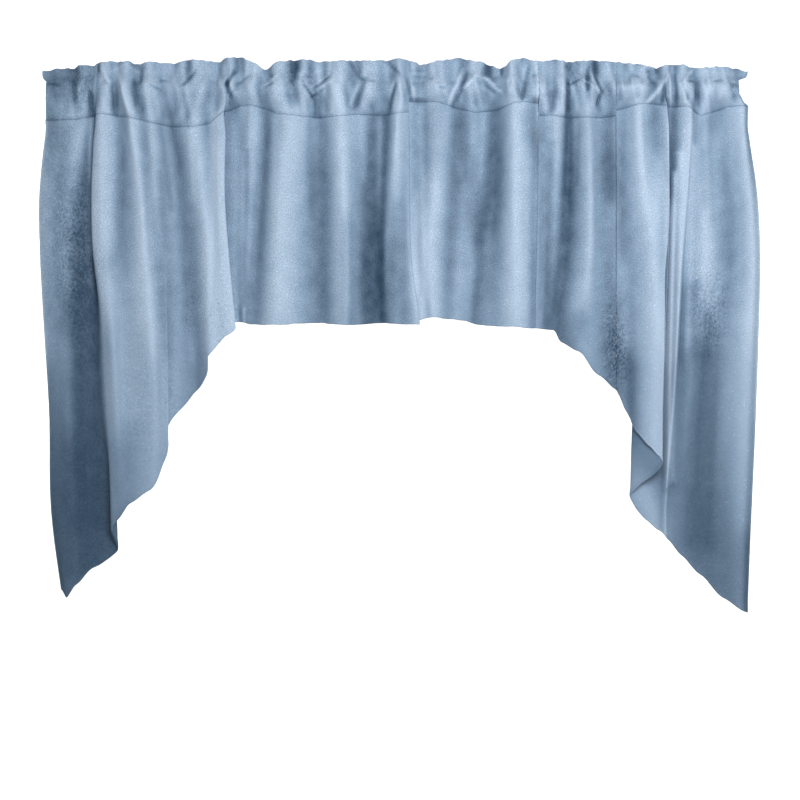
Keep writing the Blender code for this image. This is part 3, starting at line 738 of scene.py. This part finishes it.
def giveThickness(made, side):  # shown face and reverse, with the rolled hem and the rolled-back joins
    panel = panels[side]
    grid = made["grid"].copy()
    grid[..., 1] += made["lift"]
    normal = pointNormals(grid)
    along = made["along"]
    fromStart = np.broadcast_to(along, made["fromHem"].shape)
    fromEnd = along[-1] - fromStart
    edge = made["fromHem"].copy()
    calm = np.where(made["part"] == 2, 0.3, 1.0)
    ends = ("start", fromStart, joinRoll[side][0]), ("end", fromEnd, joinRoll[side][1])
    for name, distance, much in ends:
        if panel.free == name:
            edge = np.minimum(edge, distance)
            continue
        roll = np.clip(1 - distance / cloth["joinWidth"], 0, 1) ** 1.6 * much * calm
        roll = roll * (1 - 0.85 * np.exp(-((grid[..., 2] + 28) / 16) ** 2))
        grid -= normal * roll[..., None]
    front = np.interp(edge, beadAt, beadFront) * calm
    back = cloth["thickness"] + (np.interp(edge, beadAt, beadBack) - cloth["thickness"]) * calm
    shown = grid + normal * front[..., None]
    reverse = grid - normal * back[..., None]
    return shown, reverse, edge


def sheetMesh(name, shown, reverse, along, up):  # closed sheet: shown face, reverse and the rims between
    rows, columns = shown.shape[:2]
    count = rows * columns
    index = np.arange(count).reshape(rows, columns)
    corners = [index[:-1, :-1], index[:-1, 1:], index[1:, 1:], index[1:, :-1]]
    quads = np.stack(corners, -1).reshape(-1, 4)
    rims = []
    for line in (index[0, ::-1], index[-1, :], index[:, 0], index[::-1, -1]):
        a, b = line[:-1], line[1:]
        rims.append(np.stack([a, b, b + count, a + count], -1))
    faces = np.concatenate([quads, quads[:, ::-1] + count] + rims)
    points = np.concatenate([shown.reshape(-1, 3), reverse.reshape(-1, 3)]) * mm
    mesh = bpy.data.meshes.new(name)
    mesh.from_pydata(points.tolist(), [], faces.tolist())
    mesh.polygons.foreach_set("use_smooth", np.ones(len(faces), bool))
    slots = np.zeros(len(faces), int)
    slots[len(quads):2 * len(quads)] = 1
    mesh.polygons.foreach_set("material_index", slots)
    place = np.stack([np.broadcast_to(along, up.shape), up], -1).reshape(-1, 2) * mm
    place = np.concatenate([place, place])
    loops = np.zeros(len(mesh.loops), int)
    mesh.loops.foreach_get("vertex_index", loops)
    layer = mesh.uv_layers.new(name="cloth")
    layer.data.foreach_set("uv", place[loops].ravel())
    return mesh


def addAttribute(mesh, name, shown, reverse):
    layer = mesh.attributes.new(name, "FLOAT", "POINT")
    both = np.concatenate([shown.ravel(), reverse.ravel()])
    layer.data.foreach_set("value", both.astype(np.float32))


def newMaterial(name):
    material = bpy.data.materials.new(name)
    material.use_nodes = True
    return material, material.node_tree.nodes, material.node_tree.links


def addNode(nodes, kind, label, **settings):
    node = nodes.new(kind)
    node.label = label
    for key, value in settings.items():
        if key in node.inputs:
            node.inputs[key].default_value = value
        else:
            setattr(node, key, value)
    return node


# The dark and light colours, and the reverse ones, are the shaded and lit ends of a ramp: the tone attribute,
# with its painted shade and painted light, picks between them
crepe = {
    "dark": (0.026, 0.06, 0.108, 1),
    "mid": (0.208, 0.302, 0.418, 1),
    "light": (0.405, 0.515, 0.65, 1),
    "reverse": (0.24, 0.33, 0.45, 1),
    "reverseMid": (0.11, 0.18, 0.27, 1),
    "roughness": 0.68,
    "specular": 0.35,
    "sheen": 0.08,
    "grain": 470.0,  # crepe pebbles a metre
    "glint": 520.0,
    "leather": 210.0,
    "grainHeight": 0.00028,
    "leatherHeight": 0.0006,
    "glintShare": 0.05,
    "fibre": 900.0,
}


def crepeMaterial(name, colours, grainShare, glintShare):
    material, nodes, links = newMaterial(name)
    shader = nodes["Principled BSDF"]
    shader.inputs["Roughness"].default_value = crepe["roughness"]
    shader.inputs["IOR"].default_value = 1.45
    shader.inputs["Specular IOR Level"].default_value = crepe["specular"]
    shader.inputs["Sheen Weight"].default_value = crepe["sheen"]
    shader.inputs["Sheen Roughness"].default_value = 0.4
    shader.inputs["Sheen Tint"].default_value = (0.75, 0.87, 1, 1)
    place = addNode(nodes, "ShaderNodeUVMap", "cloth", uv_map="cloth")
    tone = addNode(nodes, "ShaderNodeAttribute", "tone", attribute_name="tone")
    zone = addNode(nodes, "ShaderNodeAttribute", "crinkled zones", attribute_name="zone")
    nap = addNode(nodes, "ShaderNodeAttribute", "how rough the nap is", attribute_name="nap")
    grain = addNode(nodes, "ShaderNodeTexNoise", "crepe pebbles", Scale=crepe["grain"], Detail=2.0)
    leather = addNode(nodes, "ShaderNodeTexNoise", "crinkle", Scale=crepe["leather"], Detail=2.5)
    leather.inputs["Distortion"].default_value = 0.8
    glint = addNode(nodes, "ShaderNodeTexVoronoi", "paintedGlints", Scale=crepe["glint"])
    cloud = addNode(nodes, "ShaderNodeTexNoise", "uneven nap", Scale=38.0, Detail=3.0)
    fibre = addNode(nodes, "ShaderNodeTexNoise", "short fibres", Scale=crepe["fibre"], Detail=1.0)
    for node in (grain, leather, glint, cloud, fibre):
        links.new(place.outputs["UV"], node.inputs["Vector"])

    glintRamp = addNode(nodes, "ShaderNodeMapRange", "few cells", **{"From Min": 1 - glintShare})
    cell = addNode(nodes, "ShaderNodeSeparateColor", "one number a cell")
    links.new(glint.outputs["Color"], cell.inputs["Color"])
    links.new(cell.outputs[0], glintRamp.inputs["Value"])

    def mathNode(operation, a, b):
        node = addNode(nodes, "ShaderNodeMath", operation.lower(), operation=operation)
        for socket, value in zip(node.inputs, (a, b)):
            if isinstance(value, (int, float)):
                socket.default_value = value
            else:
                links.new(value, socket)
        return node.outputs[0]

    mixed = mathNode("ADD", grain.outputs[0], mathNode("MULTIPLY", fibre.outputs[0], 0.8))
    grainTone = mathNode("MULTIPLY", mathNode("SUBTRACT", mixed, 0.9), 1.25 * grainShare)
    grainTone = mathNode("MULTIPLY", grainTone, nap.outputs["Fac"])
    # Painted shade and highlight of the crinkles: the colour follows the same noise as the crinkle relief,
    # darker in its hollows and lighter on its tops
    crinkleShading = mathNode("MULTIPLY", mathNode("SUBTRACT", leather.outputs[0], 0.5), 1.1)
    crinkleShading = mathNode("MULTIPLY", crinkleShading, mathNode("ADD", zone.outputs["Fac"], 0.12))
    cloudTone = mathNode("MULTIPLY", mathNode("SUBTRACT", cloud.outputs[0], 0.5), 0.3)
    cloudTone = mathNode("MULTIPLY", cloudTone, nap.outputs["Fac"])
    blend = mathNode("ADD", tone.outputs["Fac"], mathNode("ADD", crinkleShading, cloudTone))
    colour = addNode(nodes, "ShaderNodeValToRGB", "painted shade and nap colour")
    ramp = colour.color_ramp.elements
    ramp.new(0.5)
    for stop, key in zip(ramp, colours):
        stop.color = crepe[key]
    links.new(blend, colour.inputs["Fac"])
    # Painted glints: a few random cells are painted brighter for the sparkle of the crepe
    paintedGlints = mathNode("MULTIPLY", glintRamp.outputs[0], 0.3)
    speckle = mathNode("ADD", paintedGlints, mathNode("ADD", grainTone, 1.0))
    speckled = addNode(nodes, "ShaderNodeVectorMath", "speckled", operation="SCALE")
    links.new(colour.outputs["Color"], speckled.inputs[0])
    links.new(speckle, speckled.inputs["Scale"])
    links.new(speckled.outputs[0], shader.inputs["Base Color"])

    fine = addNode(nodes, "ShaderNodeBump", "pebble relief", Strength=0.55 * grainShare)
    fine.inputs["Distance"].default_value = crepe["grainHeight"]
    broad = addNode(nodes, "ShaderNodeBump", "crinkle relief", Strength=1.0, Distance=crepe["leatherHeight"])
    links.new(grain.outputs[0], fine.inputs["Height"])
    rough = mathNode("ADD", mathNode("MULTIPLY", zone.outputs["Fac"], 1.3), 0.25)
    height = mathNode("MULTIPLY", leather.outputs[0], rough)
    links.new(height, broad.inputs["Height"])
    links.new(broad.outputs["Normal"], fine.inputs["Normal"])
    links.new(fine.outputs["Normal"], shader.inputs["Normal"])
    return material


crepeFace = crepeMaterial("crepe face", ("dark", "mid", "light"), 1.0, crepe["glintShare"])
crepeReverse = crepeMaterial("crepe reverse", ("dark", "reverseMid", "reverse"), 0.5, 0.01)

# Each panel as a closed sheet, mapped by its own unrolled width and length
made = {}
pieces = {}
for side in panels:
    sheet = panelGrid(side)
    shown, reverse, edge = giveThickness(sheet, side)
    sheet["shown"] = shown
    made[side] = sheet
    part, along, sewingRow = sheet["part"], sheet["along"], sheet["sewingRow"]
    climb = np.linalg.norm(np.diff(shown, axis=0), axis=-1).cumsum(0)
    up = np.concatenate([np.zeros((1, len(along))), climb])
    up = up - up[sewingRow]
    mesh = sheetMesh("cloth_" + side, shown, reverse, along, up)
    x, depth, z = shown[..., 0], shown[..., 1], shown[..., 2]
    overSewing = z - z[sewingRow]
    # Painted shade and painted light for the tone attribute: darker in the valleys of the folds and lighter
    # on the ridges, less so lower down; on the reverse the other way round
    around = smoothed(side, depth, 33.6)
    near = smoothed(side, depth, 12)
    level = np.where(part == 0, -2, np.median(depth, axis=1, keepdims=True))
    valley = smoothed(side, smoothStep(0.44 + (depth - around) / 15 + (depth - level) / 44), 7.2)
    gathered = smoothStep(0.47 + (depth - near) / 8 + (depth - around) / 16 + (depth - level) / 44)
    gathered = 0.46 + (smoothed(side, gathered, 2.4) - 0.46) * np.where(part == 2, 0.6, 0.78)
    calm = 1 - 0.6 * smoothStep((-320 - z) / 160)
    valley = 0.48 + (np.where(part == 0, valley, gathered) - 0.48) * calm
    valley = np.where(part == 3, 0.5, valley)
    # painted shade along the rolled hem's edge, where it turns away
    shade = 0.08 * np.clip(1 - edge / 2.5, 0, 1)
    # painted shade in the listed zones
    shade += zoneStrength(paintedShadeZones, x, z)
    # painted shade in the groove of the lower sewing
    shade += 0.16 * np.exp(-(overSewing / 1.2) ** 2) * (part < 2)
    # lighter in a band about 14 mm up, near the upper sewing
    shade -= 0.08 * np.exp(-((z - 14) / 18) ** 2)
    # painted light on the pocket's lower wall just above the sewing, where it faces down
    shade -= 0.09 * np.exp(-((overSewing - 7) / 9) ** 2) * (part == 1)
    # painted shade in the heading's crease troughs and painted highlight on its crease ridges
    shade += 0.045 * sheet["creased"]
    # painted shade on the hanging cloth just below the pocket
    shade += 0.06 * smoothStep(1 + overSewing / 70) * (part == 0)
    # the bands of painted light and painted shade
    shade -= bandTone(paintedLightShadeBands, x, z)
    # The tone attribute carries this painted shade and painted light into the colour ramp of both faces
    addAttribute(mesh, "tone", softFloor(0.94 - 0.9 * valley - shade), softFloor(0.3 + 0.6 * valley - shade))
    addAttribute(mesh, "zone", sheet["zone"], sheet["zone"])
    nap = 1 - 0.65 * smoothStep((-300 - z) / 220)
    addAttribute(mesh, "nap", nap, nap)
    mesh.materials.append(crepeFace)
    mesh.materials.append(crepeReverse)
    piece = bpy.data.objects.new("cloth_" + side, mesh)
    bpy.context.scene.collection.objects.link(piece)
    pieces[side] = piece
    print("cloth", side, shown.shape, len(mesh.polygons) * 2, flush=True)

stitch = {
    "pitch": 3.2 * mm,
    "length": 2.7 * mm,
    "thickness": 0.7 * mm,
    "seed": 5,
    "colour": (0.045, 0.08, 0.135, 1),
}


def threadMaterial():
    material, nodes, links = newMaterial("sewing thread")
    shader = nodes["Principled BSDF"]
    shader.inputs["Base Color"].default_value = stitch["colour"]
    shader.inputs["Roughness"].default_value = 0.6
    return material


def stitchTree(material):  # stitches along the piece's own line of edges
    tree = bpy.data.node_groups.new("stitches along a line", "GeometryNodeTree")
    face = tree.interface
    face.new_socket("Geometry", in_out="INPUT", socket_type="NodeSocketGeometry")
    for name in ("Pitch", "Length", "Thickness"):
        face.new_socket(name, in_out="INPUT", socket_type="NodeSocketFloat")
    face.new_socket("Seed", in_out="INPUT", socket_type="NodeSocketInt")
    face.new_socket("Geometry", in_out="OUTPUT", socket_type="NodeSocketGeometry")
    nodes, links = tree.nodes, tree.links
    given = nodes.new("NodeGroupInput")
    result = nodes.new("NodeGroupOutput")
    curve = nodes.new("GeometryNodeMeshToCurve")
    spread = nodes.new("GeometryNodeCurveToPoints")
    spread.mode = "LENGTH"
    ball = nodes.new("GeometryNodeMeshUVSphere")
    ball.inputs["Segments"].default_value = 6
    ball.inputs["Rings"].default_value = 5
    ball.inputs["Radius"].default_value = 0.5
    shape = nodes.new("GeometryNodeTransform")
    size = nodes.new("ShaderNodeCombineXYZ")
    turn = nodes.new("FunctionNodeAlignEulerToVector")
    turn.axis = "X"
    jitter = nodes.new("FunctionNodeRandomValue")
    jitter.data_type = "FLOAT_VECTOR"
    jitter.inputs[0].default_value = (0.86, 0.8, 0.8)
    jitter.inputs[1].default_value = (1.08, 1.15, 1.15)
    place = nodes.new("GeometryNodeInstanceOnPoints")
    real = nodes.new("GeometryNodeRealizeInstances")
    finish = nodes.new("GeometryNodeSetMaterial")
    finish.inputs["Material"].default_value = material
    for source, output, target, entry in (
        (given, "Geometry", curve, "Mesh"), (curve, "Curve", spread, "Curve"),
        (given, "Pitch", spread, "Length"), (given, "Length", size, "X"),
        (given, "Thickness", size, "Y"), (given, "Thickness", size, "Z"),
        (ball, "Mesh", shape, "Geometry"), (size, "Vector", shape, "Scale"),
        (spread, "Tangent", turn, "Vector"), (given, "Seed", jitter, "Seed"),
        (spread, "Points", place, "Points"), (shape, "Geometry", place, "Instance"),
        (turn, "Rotation", place, "Rotation"), (jitter, 0, place, "Scale"),
        (place, "Instances", real, "Geometry"), (real, "Geometry", finish, "Geometry"),
        (finish, "Geometry", result, "Geometry"),
    ):
        links.new(source.outputs[output], target.inputs[entry])
    return tree


thread = threadMaterial()
stitching = stitchTree(thread)


def addStitches(side):  # the pocket's lower sewing; the upper one is lost in its gathers
    line = (made[side]["shown"][made[side]["sewingRow"]] + (0, -0.2, 0)) * mm
    verts = [tuple(point) for point in line]
    edges = [(k, k + 1) for k in range(len(line) - 1)]
    mesh = bpy.data.meshes.new("stitch line " + side)
    mesh.from_pydata(verts, edges, [])
    path = bpy.data.objects.new("stitch line " + side, mesh)
    bpy.context.scene.collection.objects.link(path)
    modifier = path.modifiers.new("stitches", "NODES")
    modifier.node_group = stitching
    wanted = {"Pitch": "pitch", "Length": "length", "Thickness": "thickness", "Seed": "seed"}
    for item in stitching.interface.items_tree:
        if item.in_out == "INPUT" and item.name in wanted:
            modifier[item.identifier] = stitch[wanted[item.name]]
    bpy.context.view_layer.update()
    depsgraph = bpy.context.evaluated_depsgraph_get()
    result = bpy.data.meshes.new_from_object(path.evaluated_get(depsgraph))
    result.name = "stitches_" + side
    path.modifiers.remove(modifier)
    bpy.data.objects.remove(path, do_unlink=True)
    if not result.materials:
        result.materials.append(thread)
    result.polygons.foreach_set("use_smooth", np.ones(len(result.polygons), bool))
    piece = bpy.data.objects.new("stitches_" + side, result)
    bpy.context.scene.collection.objects.link(piece)
    print("stitches", side, len(result.polygons), flush=True)
    return piece


for side, piece in pieces.items():
    stitches = addStitches(side)
    for one in (piece, stitches):
        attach(one, "root")
    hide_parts("panel_" + side, "heading_" + side)

studio = {
    "floor": -2.2,
    "wall": 4.6,
    "bend": 0.7,
    "colour": (0.93, 0.93, 0.93, 1),
    "world": (0.93, 0.96, 1.0, 1),
    "worldStrength": 0.13,
}
lamps = {
    "key in front": {"at": (0.38, -1.9, 0.22), "aim": (0.1, 0, -0.2), "size": 0.9, "watts": 36.5},
    "fill left": {"at": (-2.0, -2.2, 0.3), "aim": (0, 0, -0.25), "size": 1.2, "watts": 15.5},
    "fill right": {"at": (2.3, -1.6, 0.2), "aim": (0.2, 0, -0.25), "size": 1.2, "watts": 12},
    "backdrop left": {"at": (-2.6, 3.2, 0.4), "aim": (0.6, 4.7, -0.7), "size": 1.6, "watts": 90},
    "backdrop right": {"at": (2.6, 3.2, 0.4), "aim": (-0.6, 4.7, -0.7), "size": 1.6, "watts": 90},
}


def addBackdrop():
    outline = [(-3.2, studio["floor"])]
    bend = studio["bend"]
    for k in range(13):
        angle = math.pi / 2 * k / 12
        y = studio["wall"] - bend + bend * math.sin(angle)
        z = studio["floor"] + bend - bend * math.cos(angle)
        outline.append((y, z))
    outline.append((studio["wall"], 2.6))
    verts = [(x, y, z) for y, z in outline for x in (-4.5, 4.5)]
    faces = [(2 * k, 2 * k + 1, 2 * k + 3, 2 * k + 2) for k in range(len(outline) - 1)]
    mesh = bpy.data.meshes.new("backdrop")
    mesh.from_pydata(verts, [], faces)
    mesh.shade_smooth()
    material, nodes, links = newMaterial("pale paper")
    nodes["Principled BSDF"].inputs["Base Color"].default_value = studio["colour"]
    nodes["Principled BSDF"].inputs["Roughness"].default_value = 0.9
    mesh.materials.append(material)
    backdrop = bpy.data.objects.new("backdrop", mesh)
    bpy.context.scene.collection.objects.link(backdrop)


def aim(thing, at, target):
    thing.location = at
    thing.rotation_euler = (Vector(target) - Vector(at)).to_track_quat("-Z", "Y").to_euler()


def addLamp(name, lamp):
    light = bpy.data.lights.new(name, "AREA")
    light.shape = "SQUARE"
    light.size = lamp["size"]
    light.energy = lamp["watts"]
    thing = bpy.data.objects.new(name, light)
    bpy.context.scene.collection.objects.link(thing)
    aim(thing, lamp["at"], lamp["aim"])


addBackdrop()
for name, lamp in lamps.items():
    addLamp(name, lamp)
world = bpy.data.worlds.new("pale studio")
world.use_nodes = True
world.node_tree.nodes["Background"].inputs["Color"].default_value = studio["world"]
world.node_tree.nodes["Background"].inputs["Strength"].default_value = studio["worldStrength"]
bpy.context.scene.world = world
bpy.context.scene.view_settings.view_transform = "Standard"

view = {"at": (0, -3.6, -0.51), "aim": (0, 0, -0.51), "lens": 98}
camera = bpy.data.objects.new("camera", bpy.data.cameras.new("camera"))
camera.data.lens = view["lens"]
camera.data.sensor_width = 36
bpy.context.scene.collection.objects.link(camera)
aim(camera, view["at"], view["aim"])
bpy.context.scene.camera = camera
print("studio made", flush=True)
